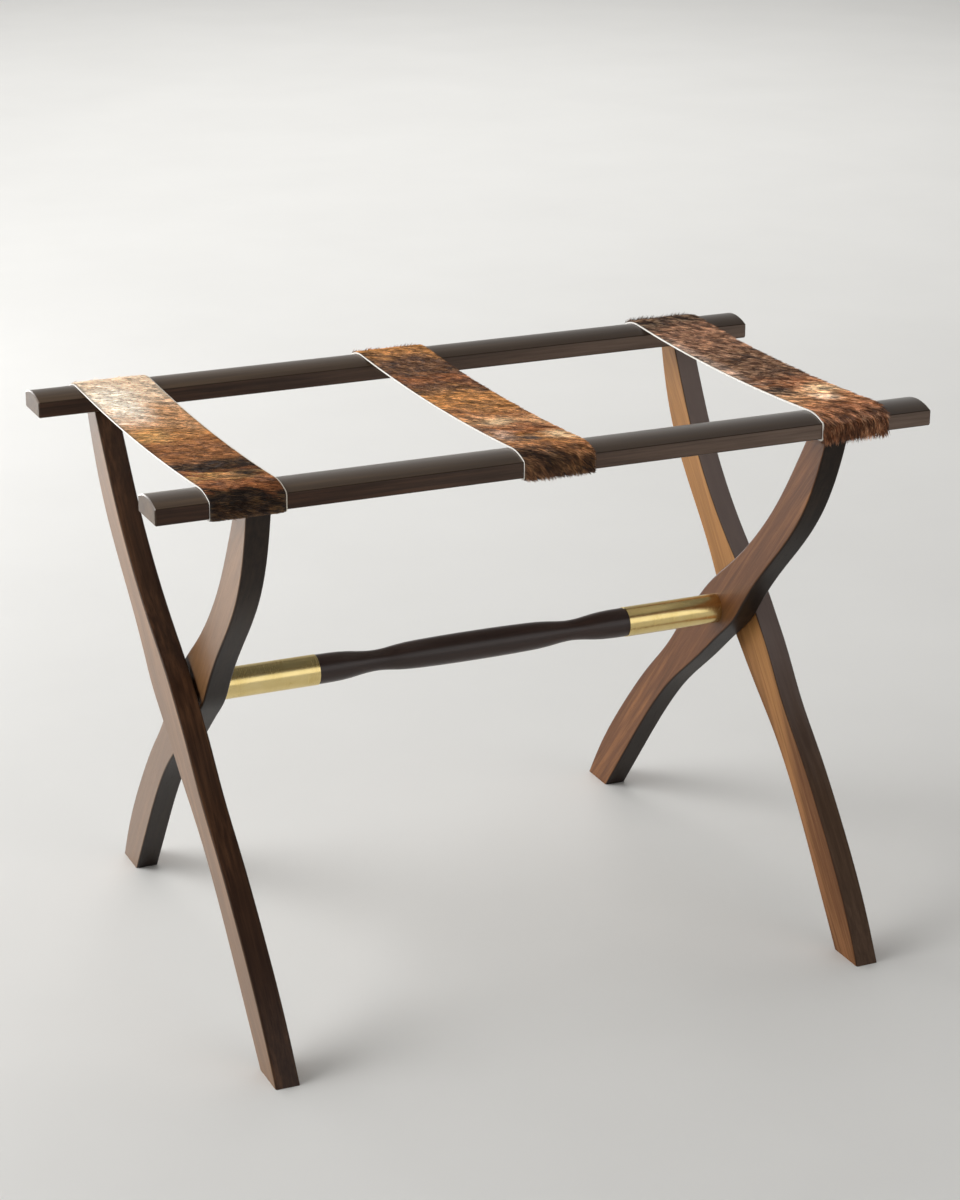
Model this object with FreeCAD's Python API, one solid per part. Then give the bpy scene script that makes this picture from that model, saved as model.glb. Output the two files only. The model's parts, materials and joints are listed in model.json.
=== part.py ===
import FreeCAD, Part
import math
import os

# Folding luggage rack: two leg-and-rail frames that cross on a turned stretcher, with three straps.
# Frame: X along the rails, Y from the front rail to the back rail, Z up.
# The origin is on the floor, in the middle between the four feet. All lengths are in millimetres.

# Rails
rail_length = 700.0
rail_spacing = 331.0
rail_depth = 43.7
rail_side_height = 13.8
rail_crown_rise = 5.0
rail_shoulder_round = 1.5
rail_bottom_round = 2.2
rail_end_chamfer = 1.0
rail_overhang = 52.4
rail_underside = 475.0

# Legs. Their faces lean in towards the floor, so the feet stand nearer together than the tops.
leg_thickness = 21.4
leg_gap = 2.9
leg_lean = 0.0257
leg_foot_reach = 229.1
leg_foot_width = 39.6
leg_crossing_width = 71.0
leg_top_width = 28.4
leg_edge_round = 1.8
pivot_height = 260.7

# The shape of a leg, seen along X, below and above the pivot.
# Each row: reach of the middle line, height from the pivot, widening from the end to the crossing.
# The last row of each lies past the floor or past the rail's underside and is cut off there.
foot_half_shares = (
    (0.102, 0.089, 0.889),
    (0.270, 0.241, 0.470),
    (0.458, 0.393, 0.225),
    (0.618, 0.545, 0.195),
    (0.757, 0.696, 0.235),
    (0.884, 0.848, 0.200),
    (0.998, 0.998, 0.010),
    (1.030, 1.042, -0.050),
)
top_half_shares = (
    (0.085, 0.077, 0.915),
    (0.326, 0.261, 0.545),
    (0.566, 0.446, 0.425),
    (0.756, 0.630, 0.375),
    (0.893, 0.815, 0.235),
    (0.998, 0.995, 0.010),
    (1.022, 1.045, -0.050),
)

# Stretcher, with a brass ferrule over each turned-down end
ferrule_diameter = 27.5
ferrule_wall = 1.2
ferrule_length = 94.9
stretcher_shoulder_diameter = 26.6
stretcher_middle_diameter = 26.8
stretcher_waist_diameter = 18.8

# Half of the stretcher's turned outline between the ferrules, from the middle outwards.
# Each row: place along the half, and how far the middle swelling (below the waist's row)
# or the shoulder (above it) rises over the waist's diameter.
swelling_shares = ((0.17, 0.97), (0.33, 0.85), (0.42, 0.72), (0.51, 0.40), (0.575, 0.10))
waist_share = 0.625
shoulder_shares = ((0.69, 0.13), (0.765, 0.52), (0.845, 0.86), (0.92, 0.97))

# Pivot pins, their bushes in the outer legs, and the washers between the legs
pin_diameter = 8.0
pin_depth_in_stretcher = 28.0
bush_wall = 2.0
bush_length = 13.5
bush_setback = 0.3
bore_floor_gap = 0.5
pin_running_clearance = 0.05
washer_diameter = 18.0
washer_thickness = 2.1
washer_bore_clearance = 0.15

# Dowels that join each leg to its rail
dowel_diameter = 7.0
dowel_depth_in_leg = 12.0
dowel_depth_in_rail = 12.0
dowel_wall = 2.5

# Straps of hide, turned under both rails and tacked there
strap_width = 64.0
strap_thickness = 2.2
strap_clearance = 0.3
strap_flap = 26.0
strap_sag = 5.0
strap_side_inset = 76.0
strap_middle_place = -5.0

# Tacks
tack_count = 5
tack_inset = 5.0
tack_head_diameter = 6.0
tack_head_height = 1.2
tack_shank_diameter = 1.6
tack_shank_depth = 9.0

# Glued fits inside one frame are modelled with this gap, and cuts run past their stock by this much
glue_gap = 0.05
overrun = 5.0

# Sizes that follow from the ones above
rail_place = rail_spacing / 2
rail_half_depth = rail_depth / 2
rail_half_length = rail_length / 2
leg_outer_face = rail_half_length - rail_overhang
top_rise = rail_underside - pivot_height
crown_radius = (rail_half_depth ** 2 + rail_crown_rise ** 2) / (2 * rail_crown_rise)
crown_top = rail_underside + rail_side_height + rail_crown_rise
crown_centre_height = crown_top - crown_radius
inner_leg_face = leg_outer_face - 2 * leg_thickness - leg_gap
outer_leg_face = leg_outer_face - leg_thickness
lean_at_pivot = math.tan(leg_lean) * top_rise
ferrule_inner_end = inner_leg_face - lean_at_pivot - ferrule_length
strap_side_place = rail_half_length - strap_side_inset
AXIS_X = FreeCAD.Vector(1, 0, 0)
AXIS_Y = FreeCAD.Vector(0, 1, 0)
AXIS_Z = FreeCAD.Vector(0, 0, 1)


def vec(x, y, z):
    return FreeCAD.Vector(x, y, z)


def cylinder_x(radius, start, end):
    """A cylinder on the pivot axis, from one X to a larger one."""
    return Part.makeCylinder(radius, end - start, vec(start, 0, pivot_height), AXIS_X)


def cylinder_z(radius, x, y, low, high):
    """An upright cylinder."""
    return Part.makeCylinder(radius, high - low, vec(x, y, low), AXIS_Z)


def box_between(low, high):
    """A box from its lowest to its highest corner."""
    size = high - low
    return Part.makeBox(size.x, size.y, size.z, low)


def mirrored_x(shape):
    """The same shape on the other side, left for right."""
    return shape.mirror(vec(0, 0, 0), AXIS_X)


def mirrored_y(shape):
    """The same shape on the other side, front for back."""
    return shape.mirror(vec(0, 0, 0), AXIS_Y)


def leaning(shape, face):
    """Tilt a right-hand piece in towards the floor, about the line where its face meets the rail."""
    tilted = shape.copy()
    tilted.rotate(vec(face, 0, rail_underside), AXIS_Y, math.degrees(leg_lean))
    return tilted


def at_pivot(face):
    """Where a leaning face that starts at this X under the rail crosses the pivot axis."""
    return face - lean_at_pivot


def rail_profile(gap):
    """Named points and arcs of one half of the rail's section, grown outwards by a gap.

    The half is the one that faces away from the other rail. Places are measured from the rail's
    middle plane, outwards, and up from the floor.
    """
    bottom_centre = (rail_half_depth - rail_bottom_round, rail_underside + rail_bottom_round)
    bottom_radius = rail_bottom_round + gap
    shoulder_reach = rail_half_depth - rail_shoulder_round
    shoulder_drop = math.sqrt((crown_radius - rail_shoulder_round) ** 2 - shoulder_reach ** 2)
    shoulder_centre = (shoulder_reach, crown_centre_height + shoulder_drop)
    shoulder_radius = rail_shoulder_round + gap
    crown_angle = math.atan2(shoulder_drop, shoulder_reach)
    half_turn = crown_angle / 2
    corner = math.sqrt(0.5)
    return {
        "flap": (bottom_centre[0], rail_underside - gap),
        "bottom_mid": (
            bottom_centre[0] + bottom_radius * corner,
            bottom_centre[1] - bottom_radius * corner,
        ),
        "side_low": (rail_half_depth + gap, bottom_centre[1]),
        "side_high": (rail_half_depth + gap, shoulder_centre[1]),
        "shoulder_mid": (
            shoulder_centre[0] + shoulder_radius * math.cos(half_turn),
            shoulder_centre[1] + shoulder_radius * math.sin(half_turn),
        ),
        "crown_low": (
            (crown_radius + gap) * math.cos(crown_angle),
            crown_centre_height + (crown_radius + gap) * math.sin(crown_angle),
        ),
        "crown_top": (0, crown_top + gap),
    }


def line(start, end):
    return Part.LineSegment(start, end).toShape()


def arc(start, middle, end):
    return Part.Arc(start, middle, end).toShape()


def rail():
    """The front rail: flat below, upright sides and a low arched crown, with chamfered ends."""
    half = rail_profile(0)

    def point(name, side):
        return vec(-rail_half_length, side * half[name][0] - rail_place, half[name][1])

    edges = [line(point("flap", -1), point("flap", 1))]
    for side in (1, -1):
        edges.append(arc(point("flap", side), point("bottom_mid", side), point("side_low", side)))
        edges.append(line(point("side_low", side), point("side_high", side)))
        edges.append(
            arc(point("side_high", side), point("shoulder_mid", side), point("crown_low", side))
        )
    edges.append(arc(point("crown_low", 1), point("crown_top", 1), point("crown_low", -1)))
    section = Part.Face(Part.Wire(Part.__sortEdges__(edges)))
    bar = section.extrude(vec(rail_length, 0, 0))
    ends = [edge for edge in bar.Edges if edge.BoundBox.XLength < glue_gap]
    return bar.makeChamfer(rail_end_chamfer, ends)


def leg_outline(face):
    """The outline of an inner leg in the plane of one X: its top is at the front, its foot at the back."""
    middle = (0, pivot_height, leg_crossing_width)
    below = [
        (
            leg_foot_reach * reach,
            pivot_height - pivot_height * drop,
            leg_foot_width + (leg_crossing_width - leg_foot_width) * widening,
        )
        for reach, drop, widening in foot_half_shares
    ]
    above = [
        (
            -rail_place * reach,
            pivot_height + top_rise * rise,
            leg_top_width + (leg_crossing_width - leg_top_width) * widening,
        )
        for reach, rise, widening in top_half_shares
    ]
    stations = below[::-1] + [middle] + above
    back = [vec(face, y + width / 2, z) for y, z, width in stations]
    front = [vec(face, y - width / 2, z) for y, z, width in stations]
    curves = []
    for points in (back, front):
        curve = Part.BSplineCurve()
        curve.interpolate(points)
        curves.append(curve.toShape())
    edges = [curves[0], line(back[-1], front[-1]), curves[1], line(front[0], back[0])]
    return Part.Face(Part.Wire(Part.__sortEdges__(edges)))


def leg_span(height):
    """The front and back edge of an inner leg at one height."""
    face = leg_outline(0)
    reach = rail_spacing + leg_foot_reach
    cut = line(vec(0, -reach, height), vec(0, reach, height)).common(face)
    return cut.BoundBox.YMin, cut.BoundBox.YMax


def slab(face):
    """All the room that one right-hand leg's thickness takes, wider and higher than the leg."""
    reach = rail_spacing + leg_foot_reach
    low = vec(face, -reach, -pivot_height)
    high = vec(face + leg_thickness, reach, rail_underside + pivot_height)
    return leaning(box_between(low, high), face)


def leg(face):
    """A right-hand leg whose top is at the front: cut flat at the floor and under the rail."""
    stock = leg_outline(face).extrude(vec(leg_thickness, 0, 0))
    reach = rail_spacing + leg_foot_reach
    low = vec(0, -reach, 0)
    high = vec(rail_half_length, reach, rail_underside)
    cut = leaning(stock, face).common(box_between(low, high))
    tall = pivot_height / 2
    long_edges = [edge for edge in cut.Edges if edge.BoundBox.ZLength > tall]
    return cut.makeFillet(leg_edge_round, long_edges)


def dowel_places():
    """Where the two dowels of a joint stand, in Y, under the front rail."""
    front = leg_span(rail_underside - dowel_depth_in_leg)[0]
    back = leg_span(rail_underside)[1]
    inset = dowel_wall + dowel_diameter / 2
    return front + inset, back - inset


def dowels(face, gap):
    """The two dowels of one right-hand joint at the front, grown by a gap for their holes."""
    middle = face + leg_thickness / 2
    low = rail_underside - dowel_depth_in_leg - gap
    high = rail_underside + dowel_depth_in_rail + gap
    lean_shift = math.tan(leg_lean) * dowel_depth_in_leg / 2
    pieces = [
        cylinder_z(dowel_diameter / 2 + gap, middle - lean_shift, y, low, high)
        for y in dowel_places()
    ]
    return Part.makeCompound(pieces)


def strap_places():
    """The middle of each strap along X."""
    return {"left": -strap_side_place, "middle": strap_middle_place, "right": strap_side_place}


def tack_places(place, leg_face):
    """Where the tacks of one strap end stand along X: spread over it, but clear of the leg's top."""
    first = place - strap_width / 2 + tack_inset
    step = (strap_width - 2 * tack_inset) / (tack_count - 1)
    room = tack_head_diameter / 2 + strap_clearance
    places = []
    for number in range(tack_count):
        x = first + number * step
        beside = leg_face - room < abs(x) < leg_face + leg_thickness + room
        if not beside:
            places.append(x)
    return places


def flap_middle():
    """The row of tacks under the front rail, in Y."""
    return rail_half_depth + rail_place - strap_flap / 2


def tacks(place, leg_face):
    """Domed tacks under the front rail, through the turned-under end of one strap."""
    under = rail_underside - 2 * strap_clearance - strap_thickness
    head_radius = tack_head_diameter / 2
    dome_radius = (head_radius ** 2 + tack_head_height ** 2) / (2 * tack_head_height)
    pieces = []
    for x in tack_places(place, leg_face):
        centre = vec(x, -flap_middle(), under - tack_head_height + dome_radius)
        ball = Part.makeSphere(dome_radius, centre)
        head = ball.common(
            cylinder_z(dome_radius, x, -flap_middle(), under - dome_radius, under)
        )
        top = rail_underside + tack_shank_depth
        shank = cylinder_z(tack_shank_diameter / 2, x, -flap_middle(), under, top)
        pieces.append(head.fuse(shank).removeSplitter())
    return Part.makeCompound(pieces)


def tack_holes(place, leg_face, gap, low, high):
    """Holes for one row of tacks at the front."""
    radius = tack_shank_diameter / 2 + gap
    pieces = [cylinder_z(radius, x, -flap_middle(), low, high) for x in tack_places(place, leg_face)]
    return Part.makeCompound(pieces)


def strap_line(x, gap):
    """The line that a strap's face follows at a gap outside the rails, from front flap to back flap."""
    half = rail_profile(gap)
    crown = crown_radius + gap
    low_point = crown_top + strap_clearance - strap_sag
    reach_sum = (rail_place ** 2 + strap_sag ** 2) / (2 * strap_sag)
    lean = math.asin(rail_place / reach_sum)

    def point(name, side):
        return vec(x, side * (half[name][0] + rail_place), half[name][1])

    def on_crown(angle, side):
        height = crown_centre_height + crown * math.cos(angle)
        return vec(x, side * (rail_place - crown * math.sin(angle)), height)

    flap_end = rail_place + rail_half_depth - strap_flap
    edges = []
    for side in (-1, 1):
        edges.append(line(vec(x, side * flap_end, half["flap"][1]), point("flap", side)))
        edges.append(arc(point("flap", side), point("bottom_mid", side), point("side_low", side)))
        edges.append(line(point("side_low", side), point("side_high", side)))
        edges.append(
            arc(point("side_high", side), point("shoulder_mid", side), point("crown_low", side))
        )
        edges.append(arc(point("crown_low", side), on_crown(0, side), on_crown(lean, side)))
    bottom = vec(x, 0, low_point + gap - strap_clearance)
    edges.append(arc(on_crown(lean, -1), bottom, on_crown(lean, 1)))
    return edges


def strap(place):
    """One strap of even thickness: over both crowns, down the outer sides and turned under."""
    start = place - strap_width / 2
    inner_gap = strap_clearance
    outer_gap = strap_clearance + strap_thickness
    edges = strap_line(start, inner_gap) + strap_line(start, outer_gap)
    flap_end = rail_place + rail_half_depth - strap_flap
    for side in (-1, 1):
        high = vec(start, side * flap_end, rail_underside - inner_gap)
        low = vec(start, side * flap_end, rail_underside - outer_gap)
        edges.append(line(high, low))
    section = Part.Face(Part.Wire(Part.__sortEdges__(edges)))
    return section.extrude(vec(strap_width, 0, 0))


def leg_slot(face):
    """The slot that a right-hand leg at the front takes out of a strap's turned-under end."""
    gap = strap_clearance
    front, back = leg_span(rail_underside)
    low = vec(face - gap, front - gap, rail_underside - strap_thickness - overrun)
    high = vec(face + leg_thickness + gap, back + strap_flap, rail_underside)
    return box_between(low, high)


def turned_outline():
    """Radius and place of the stretcher's free half, from the middle out to the ferrule."""
    waist = stretcher_waist_diameter / 2
    swell = stretcher_middle_diameter / 2 - waist
    shoulder = stretcher_shoulder_diameter / 2 - waist
    rows = [(0, waist + swell)]
    rows += [(ferrule_inner_end * place, waist + swell * rise) for place, rise in swelling_shares]
    rows.append((ferrule_inner_end * waist_share, waist))
    rows += [(ferrule_inner_end * place, waist + shoulder * rise) for place, rise in shoulder_shares]
    rows.append((ferrule_inner_end, waist + shoulder))
    return rows


def pin_hole(face):
    """The right-hand blind hole in the stretcher's end for the pivot pin."""
    start = at_pivot(face) - pin_depth_in_stretcher - glue_gap
    return cylinder_x(pin_diameter / 2 + glue_gap, start, at_pivot(face) + overrun)


def stretcher(face):
    """The turned bar, thinner inside the ferrules, cut to the leaning faces of the inner legs."""
    half = turned_outline()
    rows = [(-x, radius) for x, radius in half[:0:-1]] + half
    curve = Part.BSplineCurve()
    curve.interpolate([vec(x, 0, pivot_height + radius) for x, radius in rows])
    end = at_pivot(face) + overrun
    core = ferrule_diameter / 2 - ferrule_wall - glue_gap
    last = rows[-1]
    outline = [
        vec(last[0], 0, pivot_height + last[1]),
        vec(last[0], 0, pivot_height + core),
        vec(end, 0, pivot_height + core),
        vec(end, 0, pivot_height),
        vec(-end, 0, pivot_height),
        vec(-end, 0, pivot_height + core),
        vec(-last[0], 0, pivot_height + core),
        vec(-last[0], 0, pivot_height + last[1]),
    ]
    edges = [curve.toShape()] + [line(a, b) for a, b in zip(outline, outline[1:])]
    section = Part.Face(Part.Wire(Part.__sortEdges__(edges)))
    bar = section.revolve(vec(0, 0, pivot_height), AXIS_X, 360)
    for tool in (slab(face), pin_hole(face)):
        bar = bar.cut(tool).cut(mirrored_x(tool))
    return bar


def ferrule(face):
    """The right-hand brass tube over the stretcher's end, up to the inner leg's face."""
    start = ferrule_inner_end + glue_gap
    end = at_pivot(face) + overrun
    tube = cylinder_x(ferrule_diameter / 2, start, end)
    bore = cylinder_x(ferrule_diameter / 2 - ferrule_wall, start - overrun, end + overrun)
    return tube.cut(bore).cut(slab(face))


def bush_start():
    return at_pivot(outer_leg_face) + bush_setback


def bush_end():
    return bush_start() + bush_length


def pin():
    """The right-hand pivot pin: fast in the stretcher and the inner leg, turning in the bush."""
    start = at_pivot(inner_leg_face) - pin_depth_in_stretcher
    return cylinder_x(pin_diameter / 2, start, bush_end())


def bush():
    """The right-hand bush in the outer leg's blind hole."""
    outer = cylinder_x(pin_diameter / 2 + bush_wall, bush_start(), bush_end())
    bore = pin_diameter / 2 + pin_running_clearance
    return outer.cut(cylinder_x(bore, bush_start() - overrun, bush_end() + overrun))


def washer():
    """The right-hand washer in the gap between the two crossing legs."""
    middle = at_pivot(outer_leg_face) - leg_gap / math.cos(leg_lean) / 2
    start = middle - washer_thickness / 2
    end = middle + washer_thickness / 2
    ring = cylinder_x(washer_diameter / 2, start, end)
    bore = pin_diameter / 2 + washer_bore_clearance
    return ring.cut(cylinder_x(bore, start - overrun, end + overrun))


def bored_inner_leg():
    """The right-hand inner leg with its pin hole and dowel holes."""
    hole = cylinder_x(
        pin_diameter / 2 + glue_gap,
        at_pivot(inner_leg_face) - overrun,
        at_pivot(inner_leg_face) + leg_thickness + overrun,
    )
    return leg(inner_leg_face).cut(hole).cut(dowels(inner_leg_face, glue_gap))


def bored_outer_leg():
    """The right-hand outer leg, mirrored so that its top is at the back, with its blind bush hole."""
    hole = cylinder_x(
        pin_diameter / 2 + bush_wall + glue_gap,
        at_pivot(outer_leg_face) - overrun,
        bush_end() + bore_floor_gap,
    )
    return mirrored_y(leg(outer_leg_face).cut(dowels(outer_leg_face, glue_gap))).cut(hole)


def drilled_rail(leg_face):
    """The front rail with its dowel and tack holes, for legs at this face on both sides."""
    bar = rail()
    joint = dowels(leg_face, glue_gap)
    bar = bar.cut(joint).cut(mirrored_x(joint))
    for place in strap_places().values():
        high = rail_underside + tack_shank_depth + glue_gap
        bar = bar.cut(tack_holes(place, leg_face, glue_gap, rail_underside - overrun, high))
    return bar


def slotted_strap(place):
    """A strap with its slots round the leg tops and its tack holes."""
    piece = strap(place)
    low = rail_underside - 2 * strap_thickness - overrun
    for face, turn in ((inner_leg_face, False), (outer_leg_face, True)):
        slot = leg_slot(face)
        holes = tack_holes(place, face, strap_clearance, low, rail_underside)
        for tool in (slot, mirrored_x(slot), holes):
            piece = piece.cut(mirrored_y(tool) if turn else tool)
    return piece


def build():
    """All nodes by name."""
    nodes = {
        "front_rail": drilled_rail(inner_leg_face),
        "back_rail": mirrored_y(drilled_rail(outer_leg_face)),
        "stretcher": stretcher(inner_leg_face),
    }
    right_pieces = {
        "inner_leg": bored_inner_leg(),
        "outer_leg": bored_outer_leg(),
        "ferrule": ferrule(inner_leg_face),
        "pivot_pin": pin(),
        "pivot_bush": bush(),
        "pivot_washer": washer(),
        "inner_leg_dowels": dowels(inner_leg_face, 0),
        "outer_leg_dowels": mirrored_y(dowels(outer_leg_face, 0)),
    }
    for name, piece in right_pieces.items():
        nodes[name + "_right"] = piece
        nodes[name + "_left"] = mirrored_x(piece)
    for name, place in strap_places().items():
        nodes["strap_" + name] = slotted_strap(place)
        nodes["front_tacks_" + name] = tacks(place, inner_leg_face)
        nodes["back_tacks_" + name] = mirrored_y(tacks(place, outer_leg_face))
    return nodes


os.makedirs("parts", exist_ok=True)
for node, shape in build().items():
    shape.exportStep(os.path.join("parts", node + ".step"))
    box = shape.BoundBox
    print(
        f"{node}: {len(shape.Solids)} solids, valid {shape.isValid()}, {shape.Volume:.0f} mm3,",
        f"x {box.XMin:.1f} {box.XMax:.1f}, y {box.YMin:.1f} {box.YMax:.1f}, z {box.ZMin:.1f} {box.ZMax:.1f}",
    )
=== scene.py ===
# %% [markdown]
# # A folding luggage rack with three hair-on-hide straps
# Two walnut frames cross on a turned stretcher, and three straps of brindle cowhide hold their top
# rails apart. The wood, brass and steel parts come as finished solids in one fixed frame, in
# metres, with the floor at zero. This lesson dresses them: it gives every part its finish, and it
# replaces the plain strap solids with real hide, which has a cut edge, a skin and a coat of hair.

# %% Load the frame
import json
import math

import bpy
import numpy as np
from mathutils import Matrix, Vector


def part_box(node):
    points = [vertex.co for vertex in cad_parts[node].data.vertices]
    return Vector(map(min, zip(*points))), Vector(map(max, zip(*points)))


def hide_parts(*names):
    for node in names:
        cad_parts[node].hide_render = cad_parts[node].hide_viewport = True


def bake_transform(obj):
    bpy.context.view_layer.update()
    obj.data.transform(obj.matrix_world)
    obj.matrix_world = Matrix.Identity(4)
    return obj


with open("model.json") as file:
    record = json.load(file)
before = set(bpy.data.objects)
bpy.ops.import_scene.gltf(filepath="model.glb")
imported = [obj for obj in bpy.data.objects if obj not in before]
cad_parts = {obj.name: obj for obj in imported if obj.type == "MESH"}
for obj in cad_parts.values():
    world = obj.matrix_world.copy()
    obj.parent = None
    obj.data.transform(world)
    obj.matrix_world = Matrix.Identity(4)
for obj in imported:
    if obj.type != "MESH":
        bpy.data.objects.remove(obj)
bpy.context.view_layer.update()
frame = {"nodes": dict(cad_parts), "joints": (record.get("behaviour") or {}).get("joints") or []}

millimetre = 0.001

# %% [markdown]
# ## The camera
# The picture was taken with a long lens from the front left, a little above the rack. The lens,
# the place and the two turns were worked out from the rack's own straight edges, so the model
# stands in the view just as the real one does. A camera's axes are the columns of its matrix:
# right, up and back.

# %% Camera
eye = Vector((-0.9714, -2.2194, 1.1688))
turn_to_right = 0.4151
tilt_down = 0.3429
lens_length = 86.2
film_width = 36.0


def aim(turn, tilt):
    """The camera's right, up and back axes for a turn towards +X and a tilt down."""
    ahead = Vector(
        (math.sin(turn) * math.cos(tilt), math.cos(turn) * math.cos(tilt), -math.sin(tilt))
    )
    right = Vector((math.cos(turn), -math.sin(turn), 0))
    return right, right.cross(ahead), -ahead


camera_data = bpy.data.cameras.new("long_lens")
camera_data.lens = lens_length
camera_data.sensor_width = film_width
camera = bpy.data.objects.new("long_lens", camera_data)
bpy.context.scene.collection.objects.link(camera)
camera_axes = Matrix(aim(turn_to_right, tilt_down)).transposed()
camera.matrix_world = Matrix.Translation(eye) @ camera_axes.to_4x4()
bpy.context.scene.camera = camera
print("camera at", tuple(round(value, 3) for value in eye), "with a", lens_length, "mm lens")

# %% [markdown]
# ## Wires and graphs
# Every finish below is a small graph of nodes. Two helpers keep the graphs readable. A Wire is
# the output of a node, and Python's own operators work on it: `1 - mask` adds a Math node. A
# Graph adds any other node in one call, with its settings first and then what its sockets get.

# %% Wires and graphs
class Wire:
    """An output socket that arithmetic works on. Each operator adds one Math node."""

    def __init__(self, graph, socket):
        self.graph = graph
        self.socket = socket

    def maths(self, operation, *values):
        return self.graph.node("ShaderNodeMath", {"operation": operation}, dict(enumerate(values)))

    def __add__(self, other):
        return self.maths("ADD", self, other)

    def __sub__(self, other):
        return self.maths("SUBTRACT", self, other)

    def __rsub__(self, other):
        return self.maths("SUBTRACT", other, self)

    def __mul__(self, other):
        return self.maths("MULTIPLY", self, other)

    def __truediv__(self, other):
        return self.maths("DIVIDE", self, other)

    def __rtruediv__(self, other):
        return self.maths("DIVIDE", other, self)

    def __abs__(self):
        return self.maths("ABSOLUTE", self)

    __radd__ = __add__
    __rmul__ = __mul__


class Graph:
    """A node tree being built. One method adds any node."""

    def __init__(self, tree):
        self.tree = tree

    def node(self, kind, settings=None, sockets=None, out=0):
        made = self.tree.nodes.new(kind)
        for name, value in (settings or {}).items():
            if name == "stops":
                self.set_stops(made.color_ramp, value)
            else:
                setattr(made, name, value)
        for key, value in (sockets or {}).items():
            self.plug(made.inputs[key], value)
        return Wire(self, made.outputs[out])

    def plug(self, socket, value):
        if isinstance(value, Wire):
            self.tree.links.new(value.socket, socket)
        else:
            socket.default_value = value

    def set_stops(self, ramp, stops):
        while len(ramp.elements) < len(stops):
            ramp.elements.new(1)
        for element, (place, colour) in zip(ramp.elements, stops):
            element.position = place
            element.color = colour

    def one_of(self, vector, axis):
        """One of a vector's three numbers: 0, 1 or 2 for X, Y or Z."""
        return self.node("ShaderNodeSeparateXYZ", {}, {0: vector}, out=axis)

    def vectors(self, operation, first, second=(0, 0, 0), out=0):
        """Vector maths. The answer is a vector, or a number where out is "Value"."""
        settings = {"operation": operation}
        return self.node("ShaderNodeVectorMath", settings, {0: first, 1: second}, out=out)


print("operators wired: + - * / and abs")

# %% [markdown]
# A finish is a graph whose end is one Principled shader. The methods here are the few patterns
# that every finish shares: a stretched noise, a mask that cuts a value between two levels, and a
# mix of two colours. Colours are written as the eye reads them, from 0 to 255, and turned into
# the linear numbers that light needs.

# %% Finishes
def paint(red, green, blue):
    """A colour as it looks on a screen, from 0 to 255, in the linear values that shaders use."""
    shares = [value / 255 for value in (red, green, blue)]
    linear = [s / 12.92 if s <= 0.04045 else ((s + 0.055) / 1.055) ** 2.4 for s in shares]
    return (*linear, 1)


class Finish(Graph):
    """A material with one Principled shader."""

    def __init__(self, name):
        self.material = bpy.data.materials.new(name)
        self.material.use_nodes = True
        super().__init__(self.material.node_tree)
        self.shader = self.tree.nodes["Principled BSDF"]

    def place(self):
        return self.node("ShaderNodeTexCoord", out="Object")

    def attribute(self, name, out="Vector"):
        return self.node("ShaderNodeAttribute", {"attribute_name": name}, out=out)

    def turned(self, vector, turn):
        return self.node("ShaderNodeMapping", {}, {"Vector": vector, "Rotation": turn})

    def noise(self, vector, scales, detail=3, roughness=0.55, distortion=0):
        sockets = {
            "Vector": self.vectors("MULTIPLY", vector, scales),
            "Scale": 1,
            "Detail": detail,
            "Roughness": roughness,
            "Distortion": distortion,
        }
        return self.node("ShaderNodeTexNoise", {}, sockets)

    def between(self, value, low, high, start=0, end=1):
        """The value spread from start to end as it goes from low to high."""
        sockets = {"Value": value, 1: low, 2: high, 3: start, 4: end}
        return self.node("ShaderNodeMapRange", {"interpolation_type": "SMOOTHSTEP"}, sockets)

    def mixed(self, amount, first, second):
        settings = {"data_type": "RGBA"}
        return self.node("ShaderNodeMix", settings, {0: amount, 6: first, 7: second}, out=2)

    def darkened(self, colour, amount):
        settings = {"data_type": "RGBA", "blend_type": "MULTIPLY"}
        return self.node("ShaderNodeMix", settings, {0: 1, 6: colour, 7: amount}, out=2)

    def bump(self, height, strength, distance):
        sockets = {"Height": height, "Strength": strength, "Distance": distance}
        return self.node("ShaderNodeBump", {}, sockets)

    def finished(self, **sockets):
        for name, value in sockets.items():
            self.plug(self.shader.inputs[name.replace("_", " ")], value)
        return self.material


def dress(material, *names):
    """Gives a carried-over part its finish."""
    for name in names:
        slots = frame["nodes"][name].data.materials
        slots.clear()
        slots.append(material)


print("finish helpers ready; mid brown is", [round(v, 3) for v in paint(120, 80, 60)[:3]])

# %% [markdown]
# ## Dark walnut
# The frame is walnut under a dark espresso stain and a satin lacquer. Stain settles in the pores,
# so the wood shows four things at four sizes: slow changes of tone along a board, growth streaks
# a few millimetres apart, a finer fibre, and fine dark pores. All four run with the grain. One
# function makes the wood for any grain direction: it turns the object's own coordinates until
# the grain runs along Z, then stretches each noise along that axis. A picture of wood would have
# to be unwrapped for each curved leg, and this needs no unwrapping.
#
# Masks of the faces' direction do the rest. The sawn edges of a leg cut across the grain and drink
# more stain than its flat sides, so they have darker browns, which are also painted shade on fronts
# that turn away from the light. The lacquer has one share for the flat sides and one for the other
# faces, and there is little of it on end grain and on rounded edges. The rounded edges are also
# painted darker, a painted shade line along each shoulder. A painted drift of light and sheen
# moves the colour from one end of a part to the other.

# %% Walnut finish
across_grain = Vector((1, 1, 0))
along_grain = Vector((0, 0, 1))


def grain_scales(across, along):
    """Noise scales for streaks so many to the metre across the grain and along it."""
    return across_grain * across + along_grain * along


# A dark brown painted as shade: on rounded edges, and on the rails' crowns towards the right.
painted_shade_brown = paint(52, 38, 28)
board_tone = grain_scales(28, 3)
growth_rings = grain_scales(230, 7)
fine_fibre = grain_scales(900, 30)
open_pores = grain_scales(1500, 90)


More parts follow.
